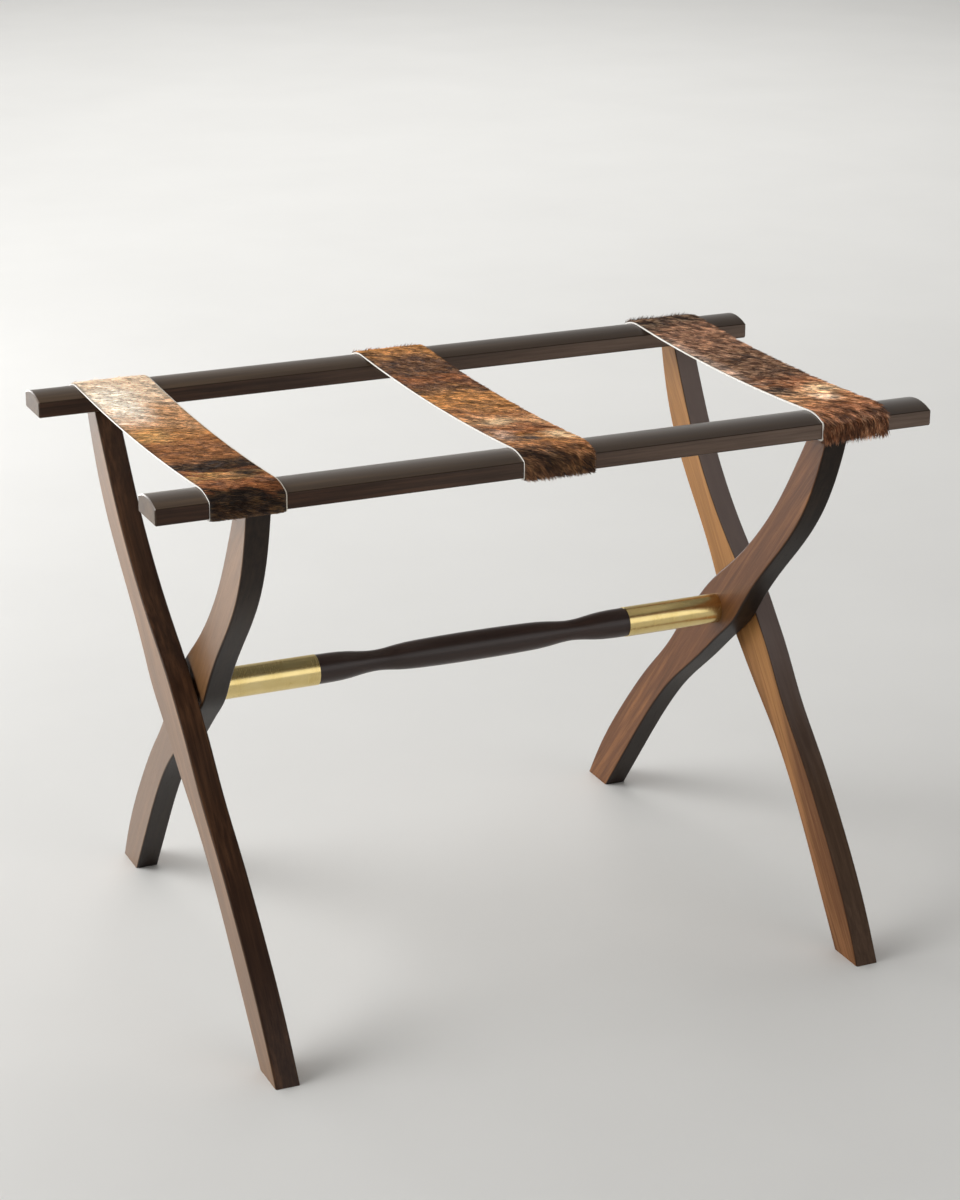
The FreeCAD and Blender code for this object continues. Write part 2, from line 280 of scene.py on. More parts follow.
def walnut(name, turn, axis, sides, edges, shine, lacquer, painted_drift=None):
    """Stained walnut whose grain runs along Z once the coordinates are turned. The two sets of
    browns, each dark, middle and light, are for the faces across an axis and for all the
    others. The shine is the bare wood's own. The lacquer has a share for each set of faces.
    Rounded edges get painted shade. A painted drift of light and sheen moves the colour
    towards another pair of browns along one axis, between two places."""
    wood = Finish(name)
    board = wood.turned(wood.place(), turn)
    tone = wood.noise(board, board_tone, detail=3)
    rings = wood.noise(board, growth_rings, detail=4, distortion=0.3)
    fibre = wood.noise(board, fine_fibre, detail=3)
    pores = wood.noise(board, open_pores, detail=2)
    streak = wood.between(rings * 0.4 + fibre * 0.3 + tone * 0.3, 0.36, 0.64)
    lit = wood.between(rings * 0.4 + tone * 0.6, 0.48, 0.7) * 0.7
    pore_mask = wood.between(pores, 0.58, 0.7)

    def browned(dark, middle, light):
        lacquered = wood.mixed(lit, wood.mixed(streak, dark, middle), light)
        return wood.mixed(pore_mask * 0.5, lacquered, dark)

    side_colour, edge_colour = browned(*sides), browned(*edges)
    # Painted light and shade: the drift lightens or darkens the colour along one axis, as light and
    # sheen fall unevenly along the part.
    if painted_drift:
        drift_axis, start, end, far_side, far_edge = painted_drift
        way = wood.one_of(wood.place(), drift_axis)
        drift_share = wood.between(way + (tone - 0.5) * 0.3, start, end, 0, 0.65)
        side_colour = wood.mixed(drift_share * (0.7 + streak * 0.5), side_colour, far_side)
        edge_colour = wood.mixed(drift_share, edge_colour, far_edge)
    facing = wood.node("ShaderNodeTexCoord", out="Normal")
    sideways = abs(wood.one_of(facing, axis))
    endways = abs(wood.one_of(wood.turned(facing, turn), 2))
    flat_side = wood.between(sideways, 0.7, 0.95)
    rounding = wood.between(sideways, 0.4, 0.55) * wood.between(sideways, 0.85, 0.98, 1, 0)
    end_grain = wood.between(endways, 0.8, 0.95)
    lacquered_share = flat_side * lacquer[0] + (1 - flat_side) * lacquer[1]
    relief = wood.bump(fibre * 0.5 - pore_mask * 0.8, 0.2, 0.0002)
    return wood.finished(
        # Painted shade: rounded edges are mixed towards a dark brown, a shade line along each shoulder.
        Base_Color=wood.mixed(
            rounding * 0.7, wood.mixed(flat_side, edge_colour, side_colour), painted_shade_brown
        ),
        Roughness=0.34 + pore_mask * 0.1 + tone * 0.08 + end_grain * 0.12,
        Normal=relief,
        Specular_IOR_Level=shine,
        Coat_Weight=lacquered_share * (1 - end_grain * 0.8) * (1 - rounding * 0.8),
        Coat_Roughness=0.3,
    )


print("walnut streaks:", round(growth_rings.x), "to the metre across,", round(growth_rings.z), "along")

# %% [markdown]
# The stain comes in sets of three browns: dark for the pores and between the streaks, middle for
# the streaks, and light for what the lacquer lights up. The left legs' paler, greyer browns are
# painted glare from the big light on the left. The other faces' darker browns are partly stain
# and partly painted shade, near black on the inner legs; the outer right leg's front has a
# painted grey sheen, and the rails' crowns a painted sheen lighter than their sides. Each part
# then says how its grain runs, which axis its flat sides face, their browns and the other faces'
# browns, its shine and its two shares of lacquer. On both rails and on one leg the colour drifts
# as painted light: the rails get lighter sides and darker crowns towards the right, and the outer
# right leg a golden highlight and a greyer front higher up.

# %% Walnut on the rack
# Painted glare: the left legs' sides have paler, greyer browns than the right legs', standing in for the
# glare of the big light on the left.
left_browns_painted_glare = (paint(104, 73, 45), paint(125, 90, 58), paint(148, 109, 74))
right_side_browns = (paint(88, 54, 31), paint(116, 74, 43), paint(152, 102, 58))
# Painted shade in part: the legs' other faces are darker partly from more stain and partly because their
# fronts turn away from the light; near black on the inner legs.
inner_edge_stain_and_shade = (paint(30, 22, 17), paint(40, 30, 23), paint(52, 39, 29))
left_edge_browns = (paint(48, 29, 19), paint(74, 49, 33), paint(110, 76, 51))
# Painted sheen: the outer right leg's fronts are lighter and greyer.
right_edge_browns_painted_sheen = (paint(76, 58, 46), paint(93, 72, 57), paint(108, 86, 70))
golden_browns = (paint(98, 63, 38), paint(132, 90, 57), paint(160, 113, 74))
rail_browns = (paint(46, 29, 19), paint(66, 43, 29), paint(94, 63, 43))
# Painted sheen: the rails' crowns, undersides and ends are lighter than their sides, a sheen painted on
# top.
crown_browns_painted_sheen = (paint(68, 51, 35), paint(86, 66, 46), paint(100, 78, 56))
turned_browns = (paint(42, 26, 20), paint(52, 33, 26), paint(64, 42, 33))
# Painted light: a paler brown that the rails' sides turn towards at their right ends.
painted_light_rail = paint(132, 113, 100)
# Painted highlight and sheen: a golden side and a greyer front for the outer right leg's upper part.
painted_golden_highlight = paint(188, 136, 80)
painted_grey_sheen = paint(132, 120, 117)
leg_slope = 0.693
along_rail = (0, math.pi / 2, 0)
along_outer = (leg_slope, 0, 0)
along_inner = (-leg_slope, 0, 0)
# Painted light and shade: towards the right the rails' sides get lighter and their crowns darker, with
# less sheen.
rail_painted_drift = (0, -0.25, 0.3, painted_light_rail, painted_shade_brown)
# Painted highlight: the outer right leg turns golden on its upper sides and greyer on its upper front.
upper_leg_painted_highlight = (2, 0.1, 0.28, painted_golden_highlight, painted_grey_sheen)
woods = {
    "outer_leg_left": (along_outer, 0, left_browns_painted_glare, left_edge_browns, 0.2, (0.5, 0.0)),
    "outer_leg_right": (
        along_outer, 0, golden_browns, right_edge_browns_painted_sheen, 0.06, (0.0, 0.0), upper_leg_painted_highlight
    ),
    "inner_leg_left": (along_inner, 0, left_browns_painted_glare, inner_edge_stain_and_shade, 0.2, (0.6, 0.0)),
    "inner_leg_right": (along_inner, 0, right_side_browns, inner_edge_stain_and_shade, 0.16, (0.0, 0.0)),
    "front_rail": (along_rail, 1, rail_browns, crown_browns_painted_sheen, 0.2, (0.05, 1.0), rail_painted_drift),
    "back_rail": (along_rail, 1, rail_browns, crown_browns_painted_sheen, 0.2, (0.08, 0.65), rail_painted_drift),
    "stretcher": (along_rail, 0, turned_browns, turned_browns, 0.34, (0.0, 0.3)),
}
for part, recipe in woods.items():
    dress(walnut("walnut_" + part, *recipe), part)
print("walnut on", len(woods), "parts")

# %% [markdown]
# ## Brass and the small hardware
# The two ferrules are turned brass tubes with a satin brushing round them. Fine rings are a noise
# that changes fast along X and slowly across it. The pins, bushes, washers, dowels and tacks are
# mostly hidden, but each has the finish of its real material, so the rack looks right from below
# and in pieces.

# %% Metal, nylon and beech
changes_round_a_ring = 30
dull_patches = (60, 90, 90)


def turned_metal(name, colour, shade, roughness, rings_a_metre):
    """Metal brushed round the X axis."""
    metal = Finish(name)
    place = metal.place()
    brushing = (rings_a_metre, changes_round_a_ring, changes_round_a_ring)
    rings = metal.noise(place, brushing, detail=3, roughness=0.7)
    cloud = metal.noise(place, dull_patches, detail=3)
    base = metal.mixed(metal.between(cloud * 0.8 + rings * 0.2, 0.2, 0.75), shade, colour)
    return metal.finished(
        Base_Color=base,
        Metallic=1.0,
        Roughness=roughness + rings * 0.08 - cloud * 0.04,
        Normal=metal.bump(rings, 0.05, 0.0001),
    )


def plain_grained(name, colour, shade, roughness, scales, metallic=0.0):
    """A plain material with a fine speck or grain of its own."""
    solid = Finish(name)
    place = solid.place()
    speck = solid.noise(place, scales, detail=4)
    base = solid.mixed(solid.between(speck, 0.35, 0.65), shade, colour)
    return solid.finished(
        Base_Color=base,
        Metallic=metallic,
        Roughness=roughness + speck * 0.15,
        Normal=solid.bump(speck, 0.15, 0.0001),
    )


satin_brass = turned_metal("satin_brass", paint(238, 216, 156), paint(224, 198, 130), 0.24, 2600)
bush_brass = turned_metal("bush_brass", paint(200, 168, 96), paint(176, 142, 78), 0.3, 1800)
pin_steel = turned_metal("pin_steel", paint(186, 188, 190), paint(150, 152, 156), 0.26, 2200)
washer_nylon = plain_grained(
    "washer_nylon", paint(68, 65, 62), paint(54, 51, 48), 0.42, (400, 400, 400)
)
dowel_beech = plain_grained(
    "dowel_beech", paint(214, 180, 138), paint(188, 150, 108), 0.6, (900, 900, 60)
)
tack_steel = plain_grained(
    "tack_steel", paint(92, 84, 74), paint(52, 46, 42), 0.32, (500, 500, 500), metallic=1.0
)
for side in ("left", "right"):
    dress(satin_brass, "ferrule_" + side)
    dress(bush_brass, "pivot_bush_" + side)
    dress(pin_steel, "pivot_pin_" + side)
    dress(washer_nylon, "pivot_washer_" + side)
    dress(dowel_beech, "outer_leg_dowels_" + side, "inner_leg_dowels_" + side)
strap_names = ("left", "middle", "right")
for strap_name in strap_names:
    dress(tack_steel, "front_tacks_" + strap_name, "back_tacks_" + strap_name)
print("hardware dressed")

# %% [markdown]
# ## The line a strap follows
# Each strap is tacked under the back rail, goes up the rail's outer side, over both crowns and
# down and under the front rail. Between the crowns it sags a little. That line is made of
# straight runs and true arcs, so a strap can be laid along it at any height above the wood: the
# height only changes each arc's radius. The sizes are read from the rails themselves wherever a
# box can tell them. The rest are the rail's roundings, and the strap's own sizes and steps.

# %% Strap line
rail_low, rail_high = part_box("front_rail")
rail_underside = rail_low.z
rail_half_depth = (rail_high.y - rail_low.y) / 2
rail_place = -(rail_high.y + rail_low.y) / 2
crown_top = rail_high.z
crown_rise = 5.0 * millimetre
shoulder_round = 1.5 * millimetre
bottom_round = 2.2 * millimetre
strap_sag = 5.0 * millimetre
strap_flap = 26.0 * millimetre
leg_slot_depth = 7.55 * millimetre
hide_step = 3.0 * millimetre
skin_gap = 0.3 * millimetre
slot_edge_steps = 2
corner_steps = 5
side_steps = 4
shoulder_steps = 4
hide_thickness = 1.4 * millimetre
crown_radius = (rail_half_depth ** 2 + crown_rise ** 2) / (2 * crown_rise)
crown_centre = crown_top - crown_radius
shoulder_reach = rail_half_depth - shoulder_round
shoulder_drop = math.sqrt((crown_radius - shoulder_round) ** 2 - shoulder_reach ** 2)
crown_angle = math.atan2(shoulder_drop, shoulder_reach)
centre_distance = (rail_place ** 2 + strap_sag ** 2) / (2 * strap_sag)
crown_lean = math.asin(rail_place / centre_distance)
sag_centre = crown_centre + centre_distance * math.cos(crown_lean)


def straight(start, end, steps):
    """Places along a straight run, each with the direction that faces away from the wood."""
    run = np.subtract(end, start)
    facing = np.array((run[1], -run[0])) / np.hypot(*run)
    for share in np.arange(steps) / steps:
        yield np.add(start, run * share), facing


def bend_round(centre, radius, start, end, steps, inside=False):
    """Places along an arc. Inside an arc, away from the wood is towards its centre."""
    for angle in start + (end - start) * np.arange(steps) / steps:
        out = np.array((math.cos(angle), math.sin(angle)))
        yield np.add(centre, out * radius), -out if inside else out


def half_line(step):
    """The line from one flap's end to the middle of the span, as distances out from the middle
    plane and heights, with the outward directions."""
    flap_start = rail_place + rail_half_depth - strap_flap
    corner = (rail_place + rail_half_depth - bottom_round, rail_underside + bottom_round)
    shoulder = (rail_place + shoulder_reach, crown_centre + shoulder_drop)
    under = rail_underside - skin_gap
    outside = rail_place + rail_half_depth + skin_gap
    crown = crown_radius + skin_gap
    span = centre_distance - crown
    slot_end = outside - skin_gap - leg_slot_depth
    steps = round((slot_end - flap_start) / step)
    yield from straight((flap_start, under), (slot_end, under), steps)
    yield from straight((slot_end, under), (corner[0], under), slot_edge_steps)
    yield from bend_round(corner, bottom_round + skin_gap, -math.pi / 2, 0, corner_steps)
    yield from straight((outside, corner[1]), (outside, shoulder[1]), side_steps)
    yield from bend_round(shoulder, shoulder_round + skin_gap, 0, crown_angle, shoulder_steps)
    steps = round(crown * (math.pi / 2 + crown_lean - crown_angle) / step)
    centre = (rail_place, crown_centre)
    yield from bend_round(centre, crown, crown_angle, math.pi / 2 + crown_lean, steps)
    steps = round(span * crown_lean / step)
    low = -math.pi / 2
    yield from bend_round((0, sag_centre), span, low + crown_lean, low, steps, inside=True)


half = list(half_line(hide_step))
middle_place = np.array((0, sag_centre - (centre_distance - crown_radius - skin_gap)))
back_half = [(np.array((0, *place)), np.array((0, *out))) for place, out in half]
mirror_y = np.array((1, -1, 1))
front_half = [(place * mirror_y, out * mirror_y) for place, out in reversed(back_half)]
line = back_half + [(np.array((0, *middle_place)), np.array((0, 0, 1.0)))] + front_half
line_places = np.array([place for place, out in line])
line_out = np.array([out for place, out in line])
steps_between = np.linalg.norm(np.diff(line_places, axis=0), axis=1)
line_length = np.concatenate(((0,), np.cumsum(steps_between)))
strap_length = float(line_length[-1])
line_ahead = np.gradient(line_places, line_length, axis=0)
line_ahead /= np.linalg.norm(line_ahead, axis=1)[:, None]
print("strap line:", len(line), "places,", round(strap_length, 4), "m long")

# %% [markdown]
# ## The hide
# A strap's hide is about a millimetre and a half thick, and its hair adds a millimetre or two. The
# clean knife-cut edge shows the pale raw leather. The straps are cut by hand: one widens a little
# towards the back, and one lies a little askew there. Where a strap meets the top of a leg, its
# turned-under end is slotted round the leg. The hide is laid out as a grid of cells along the
# line, with a grid line on each side of each slot, and the cells in a slot are left out.

# %% Hide grid
strap_width = 64.0 * millimetre
front_slot = (251.6 * millimetre, 273.6 * millimetre)
back_slot = (275.9 * millimetre, 297.9 * millimetre)
straight_down = -0.99
edge_reach = 8.0 * millimetre
# How many millimetres a strap's left edge and its whole width lie to the left over the back rail.
hand_cut = {"left": (4.0, 0.0), "middle": (0.0, 3.5), "right": (0.0, 0.0)}


def middle_of(name):
    """Where a carried-over part's middle lies along X."""
    low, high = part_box(name)
    return (low.x + high.x) / 2


def columns_of(place):
    """Where a strap's grid lines run along X, with one on each side of each slot."""
    low, high = place - strap_width / 2, place + strap_width / 2
    cuts = [side * cut for side in (-1, 1) for cut in (*front_slot, *back_slot)]
    stops = [low] + sorted(cut for cut in cuts if low < cut < high) + [high]
    lines = [low]
    for start, end in zip(stops, stops[1:]):
        steps = max(1, round((end - start) / hide_step))
        lines += [start + (end - start) * (number + 1) / steps for number in range(steps)]
    return np.array(lines)


def kept_cells(columns):
    """Which cells of the grid are hide: True outside the slots round the legs' tops."""
    middles = np.abs((columns[:-1] + columns[1:]) / 2)
    under = (line_out[:-1, 2] < straight_down) & (line_out[1:, 2] < straight_down)
    slot_start = rail_place + rail_half_depth - leg_slot_depth
    rows = (line_places[:-1] + line_places[1:]) / 2
    deep = under & (np.abs(rows[:, 1]) < slot_start)
    kept = np.ones((len(rows), len(middles)), bool)
    for slot, at_front in ((front_slot, True), (back_slot, False)):
        inside = (middles > slot[0]) & (middles < slot[1])
        there = deep & ((rows[:, 1] < 0) == at_front)
        kept &= ~(there[:, None] & inside[None, :])
    return kept


def skin_places(name, columns, height):
    """Every corner of the grid at a height above the hide's lower face."""
    profile = line_places + line_out * height
    grid = np.repeat(profile[:, None, :], len(columns), axis=1)
    edge_shift, whole_shift = (shift * millimetre for shift in hand_cut[name])
    at_edge = np.clip(1 - (columns - columns[0]) / edge_reach, 0, 1)
    towards_back = np.clip(0.5 + line_places[:, 1] / (2 * rail_place), 0, 1)
    grid[:, :, 0] = columns - towards_back[:, None] * (at_edge * edge_shift + whole_shift)
    return grid


strap_places = {name: middle_of("strap_" + name) for name in strap_names}
print("straps at", {name: round(place, 3) for name, place in strap_places.items()})

# %% [markdown]
# Every kept cell gets an upper and a lower face, and every open side gets a narrow face, so the
# result is one closed shell. Each corner also remembers its place on the flat hide, which the
# finish and the hair will read. The upper faces alone make the ground that the hair grows on.

# %% Hide shell
def hide_mesh(name, columns, kept, solid):
    """A closed shell of hide, or if it is not to be solid only its upper face."""
    rows, width = len(line_places), len(columns)
    cells = [(r, c) for r in range(rows - 1) for c in range(width - 1) if kept[r, c]]

    def corner(r, c):
        return r * width + c

    faces = [
        (corner(r, c), corner(r + 1, c), corner(r + 1, c + 1), corner(r, c + 1)) for r, c in cells
    ]
    places = skin_places(name, columns, hide_thickness).reshape(-1, 3)
    if solid:
        under = len(places)
        places = np.concatenate((places, skin_places(name, columns, 0).reshape(-1, 3)))
        edges = {edge for face in faces for edge in zip(face, face[1:] + face[:1])}
        rims = sorted((start, end) for start, end in edges if (end, start) not in edges)
        undersides = [tuple(under + point for point in reversed(face)) for face in faces]
        rim_faces = [(end, start, under + start, under + end) for start, end in rims]
        hair_faces = len(faces)
        faces = faces + undersides + rim_faces
    used = np.unique(np.array([point for face in faces for point in face]))
    renumber = np.full(len(places), -1)
    renumber[used] = np.arange(len(used))
    mesh = bpy.data.meshes.new("hide_" + name)
    mesh.from_pydata(places[used].tolist(), [], [[int(renumber[p]) for p in f] for f in faces])
    flat = np.zeros((rows, width, 3))
    flat[:, :, 0] = (columns - columns.mean())[None, :]
    flat[:, :, 1] = line_length[:, None]
    flat = flat.reshape(-1, 3)
    if solid:
        flat = np.concatenate((flat, flat))
        mesh["hair_faces"] = hair_faces
    root = mesh.attributes.new("root", "FLOAT_VECTOR", "POINT")
    root.data.foreach_set("vector", flat[used].astype(np.float32).ravel())
    return mesh


def shown(name, mesh):
    made = bpy.data.objects.new(name, mesh)
    bpy.context.scene.collection.objects.link(made)
    return made


hides = {}
for strap_name, place in strap_places.items():
    columns = columns_of(place)
    kept = kept_cells(columns)
    hides[strap_name] = shown("hide_" + strap_name, hide_mesh(strap_name, columns, kept, True))
    print("hide", strap_name, "has", int(kept.sum()), "cells and", int((~kept).sum()), "cut out")

# %% [markdown]
# ## The colour of the hair
# Brindle is a mix of amber and near-black hairs that lie in bands and flames. Each strap was cut
# from another part of a hide, so each has its own run of colours from the back rail to the
# front, its own slant of the bands, and a few patches, each with its middle and half size in
# millimetres across and along the strap. The lie of the hair is in degrees from the strap's width
# towards its length: over the back rail, between the rails and over the front rail. Dark and pale
# are the strands' colours, each with how strong they are. Back streaks is the share of them that
# is left near the back end, and blotches is how much the coat's light and shade vary.

# %% Coats
cream = paint(247, 237, 221)
sand = paint(230, 208, 182)
blond = paint(220, 192, 154)
honey = paint(212, 166, 106)
tan = paint(198, 154, 112)
amber = paint(178, 125, 72)
chestnut = paint(156, 105, 66)
rust = paint(140, 86, 52)
russet = paint(116, 72, 46)
taupe = paint(134, 94, 70)
brown = paint(98, 66, 46)
ash = paint(170, 142, 124)
smoke = paint(86, 68, 58)
umber = paint(60, 40, 28)
soot = paint(42, 32, 27)
coats = {
    "left": {
        "run": (
            (0.00, sand), (0.25, sand), (0.34, tan), (0.44, tan), (0.51, amber), (0.57, chestnut),
            (0.68, chestnut), (0.715, umber), (0.75, soot), (0.78, rust), (0.80, honey),
            (0.835, chestnut), (0.875, rust), (0.90, soot), (0.95, umber),
        ),
        "slant": 0.1,
        "patches": (
            (cream, (-20, 125), (26, 66)),
            (honey, (-20, 222), (17, 22)),
            (soot, (16, 365), (17, 17)),
        ),
        "lie": (38, 38, 6),
        "dark": (umber, 0.4),
        "pale": (honey, 0.35),
        "blotches": 0.36,
        "back_streaks": 0.12,
        "length": 6.0 * millimetre,
        "width": 0.44 * millimetre,
        "disorder": 0.6,
        "overhang": -0.5 * millimetre,
        "lift": 0.1,
        "seed": 3,
    },
    "middle": {
        "run": (
            (0.00, amber), (0.15, amber), (0.20, brown), (0.28, brown), (0.345, rust),
            (0.40, brown), (0.46, amber), (0.55, amber), (0.61, chestnut), (0.675, tan), (0.74, rust),
            (0.80, amber), (0.865, chestnut), (0.905, umber), (0.95, brown),
        ),
        "slant": 0.25,
        "patches": (
            (ash, (-24, 350), (11, 26)),
            (smoke, (-7, 366), (11, 13)),
            (blond, (19, 366), (14, 17)),
            (blond, (-8, 305), (18, 13)),
        ),
        "lie": (45, 50, 48),
        "dark": (umber, 0.45),
        "pale": (honey, 0.4),
        "blotches": 0.45,
        "back_streaks": 1.0,
        "length": 6.5 * millimetre,
        "width": 0.52 * millimetre,
        "disorder": 0.75,
        "overhang": 0.8 * millimetre,
        "lift": 0.08,
        "seed": 11,
    },
    "right": {
        "run": (
            (0.00, brown), (0.14, umber), (0.22, taupe), (0.34, taupe), (0.42, brown), (0.50, brown),
            (0.58, brown), (0.66, rust), (0.73, tan), (0.80, chestnut), (0.86, rust),
            (0.92, russet),
        ),
        "slant": -0.3,
        "patches": (
            (ash, (-30, 205), (6.5, 90)),
            (blond, (14, 324), (14, 20)),
            (sand, (0, 352), (14, 15)),
            (umber, (-24, 315), (12, 22)),
        ),
        "lie": (50, 57, 84),
        "dark": (umber, 0.45),
        "pale": (blond, 0.55),
        "blotches": 0.75,
        "back_streaks": 1.0,
        "length": 8.0 * millimetre,
        "width": 0.6 * millimetre,
        "disorder": 0.7,
        "overhang": 2.0 * millimetre,
        "lift": 0.1,
        "seed": 23,
    },
}
print("coats:", ", ".join(coats))

# %% [markdown]
# A ramp along the strap holds a coat's run of colours. Noise bends it, and streaks of dark and
# pale that follow the lie of the hair break it up. Each noise is stretched: its three numbers say
# how often it changes to the metre. The first two noises bend the bands, the next two make broad
# dark streaks and blotches, and the last two make the strands.

# %% Brindle
slow_bend = (28, 22, 1)
flames = (26, 150, 1)
broad_streaks = (40, 240, 1)
blotches = (60, 120, 3)
strands = (90, 290, 5)
wisps = (180, 850, 9)


def with_patches(finish, coat, base, root, ragged):
    """The base colour with the coat's patches on it, each a ragged oval."""
    for colour, middle, half_size in coat["patches"]:
        off = finish.vectors("SUBTRACT", root, [place * millimetre for place in (*middle, 0)])
        shares = [1 / (size * millimetre) for size in half_size] + [0]
        reach = finish.vectors("LENGTH", finish.vectors("MULTIPLY", off, shares), out="Value")
        base = finish.mixed(finish.between(reach + ragged, 0.2, 1.35, 1, 0), base, colour)
    return base


def brindle(finish, coat, tone):
    """The colour at a hair's root: the coat's run and patches, then its dark and pale strands."""
    root = finish.attribute("root")
    shift = (coat["seed"] * 0.37, coat["seed"] * 0.11, 0)
    moved = finish.vectors("ADD", root, shift)
    lying = finish.turned(moved, (0, 0, -math.radians(coat["lie"][1])))
    across, along = finish.one_of(root, 0), finish.one_of(root, 1)
    bend = finish.noise(moved, slow_bend, detail=3)
    flame = finish.noise(lying, flames, detail=3, distortion=0.5)
    level = (along - across * coat["slant"]) / strap_length
    place = level + (bend - 0.5) * 0.12 + (flame - 0.5) * 0.14
    run = finish.node("ShaderNodeValToRGB", {"stops": coat["run"]}, {0: place})
    patched = with_patches(finish, coat, run, root, bend + flame * 1.5 - 1.25)
    broad = finish.between(finish.noise(lying, broad_streaks, detail=3, roughness=0.6), 0.53, 0.68)
    blotch = finish.between(finish.noise(lying, blotches, detail=4, roughness=0.6), 0.34, 0.66)
    strand = finish.noise(lying, strands, detail=4, roughness=0.7, distortion=0.8)
    wisp = finish.noise(lying, wisps, detail=2)
    mixed_strands = strand * 0.4 + wisp * 0.5 + blotch * 0.1
    from_back = (along + across * 2.5) / strap_length
    streaked = finish.between(from_back, 0.22, 0.48, coat["back_streaks"], 1)
    deep = finish.between(mixed_strands, 0.42, 0.51, 1, 0) * streaked
    pale = finish.between(mixed_strands, 0.49, 0.58) * streaked
    dark_hair, dark_share = coat["dark"]
    pale_hair, pale_share = coat["pale"]
    banded = finish.mixed(broad * streaked * 0.5, patched, umber)
    with_dark = finish.mixed(deep * dark_share * 0.5, banded, dark_hair)
    with_pale = finish.mixed(pale * pale_share * 0.25, with_dark, pale_hair)
    blotched = (blotch - 0.5) * coat["blotches"] + 1
    light = tone * blotched * (1 + pale * pale_share) * (1 - deep * dark_share)
    shade = finish.node("ShaderNodeCombineColor", {}, {0: light, 1: light, 2: light})
    return finish.darkened(with_pale, shade)


print("brindle ready for", len(coats), "coats")

# %% [markdown]
# One recipe colours the skin and the hair: both read the place on the flat hide, where the hair
# is rooted. So a hair has one colour for its whole length, a random tone of its own, and a tip a
# little lighter than its root. The skin is bare and pale along the knife cut, and the cut edge and
# the underside are raw leather.

# %% Hair, skin and raw leather
bare_skin = paint(226, 216, 200)
bare_margin = 0.3 * millimetre


def hair_finish(name, coat):
    hair = Finish("hair_" + name)
    tone = hair.attribute("tone", out="Fac")
    along = hair.attribute("along", out="Fac")
    colour = brindle(hair, coat, 0.35 + tone * 1.35 + along * 0.5)
    return hair.finished(
        Base_Color=colour, Roughness=0.5 - along * 0.1, Specular_IOR_Level=0.25
    )


def skin_finish(name, coat):
    """The skin between the hairs."""
    skin = Finish("skin_" + name)
    root = skin.attribute("root")
    speck = skin.noise(root, (700, 700, 1), detail=2)
    from_edge = strap_width / 2 - abs(skin.one_of(root, 0))
    cut = skin.between(from_edge + (speck - 0.5) * bare_margin, bare_margin * 0.5, bare_margin, 1, 0)
    colour = skin.mixed(cut, brindle(skin, coat, 0.5 + speck * 0.3), bare_skin)
    return skin.finished(Base_Color=colour, Roughness=0.75, Normal=skin.bump(speck, 0.4, 0.0003))


def raw_leather():
    leather = Finish("raw_hide")
    place = leather.place()
    fuzz = leather.noise(place, (900, 900, 900), detail=4)
    cloud = leather.noise(place, (50, 50, 50), detail=3)
    base = leather.mixed(
        leather.between(fuzz * 0.5 + cloud * 0.5, 0.35, 0.65), paint(232, 228, 220), paint(248, 246, 242)
    )
    return leather.finished(
        Base_Color=base, Roughness=0.8 + fuzz * 0.1, Normal=leather.bump(fuzz, 0.5, 0.0003)
    )


sharp_edge = math.radians(50)
raw_hide = raw_leather()
hair_finishes = {name: hair_finish(name, coat) for name, coat in coats.items()}
skin_finishes = {name: skin_finish(name, coat) for name, coat in coats.items()}
for strap_name, hide in hides.items():
    hide.data.materials.append(skin_finishes[strap_name])
    hide.data.materials.append(raw_hide)
    face_finish = np.ones(len(hide.data.polygons), np.int32)
    face_finish[: hide.data["hair_faces"]] = 0
    hide.data.polygons.foreach_set("material_index", face_finish)
    hide.data.shade_smooth()
    hide.data.set_sharp_from_angle(angle=sharp_edge)
print("finishes for", ", ".join(hide.name for hide in hides.values()))

# %% [markdown]
# ## The coat of hair
# A hide's hair is short, straight and combed one way. Thousands of hairs are work for Geometry
# Nodes: points are scattered over the hair side of the hide, and a spindle stands on each,
# turned to the lie of the coat with a little disorder, and leaning so low that the coat looks
# sleek. The spindle is a sphere of three segments and two rings, which is only six triangles and
# still closed. Each hair keeps its root's place, a tone and the way along it as attributes.

# %% One hair
hair_inputs = {
    "Skin": "NodeSocketGeometry",
    "Density": "NodeSocketFloat",
    "Length": "NodeSocketFloat",
    "Width": "NodeSocketFloat",
    "Lift": "NodeSocketFloat",
    "Edge": "NodeSocketFloat",
    "Disorder": "NodeSocketFloat",
    "Seed": "NodeSocketInt",
    "Finish": "NodeSocketMaterial",
}
width_share = 0.58
thickness_share = 0.35


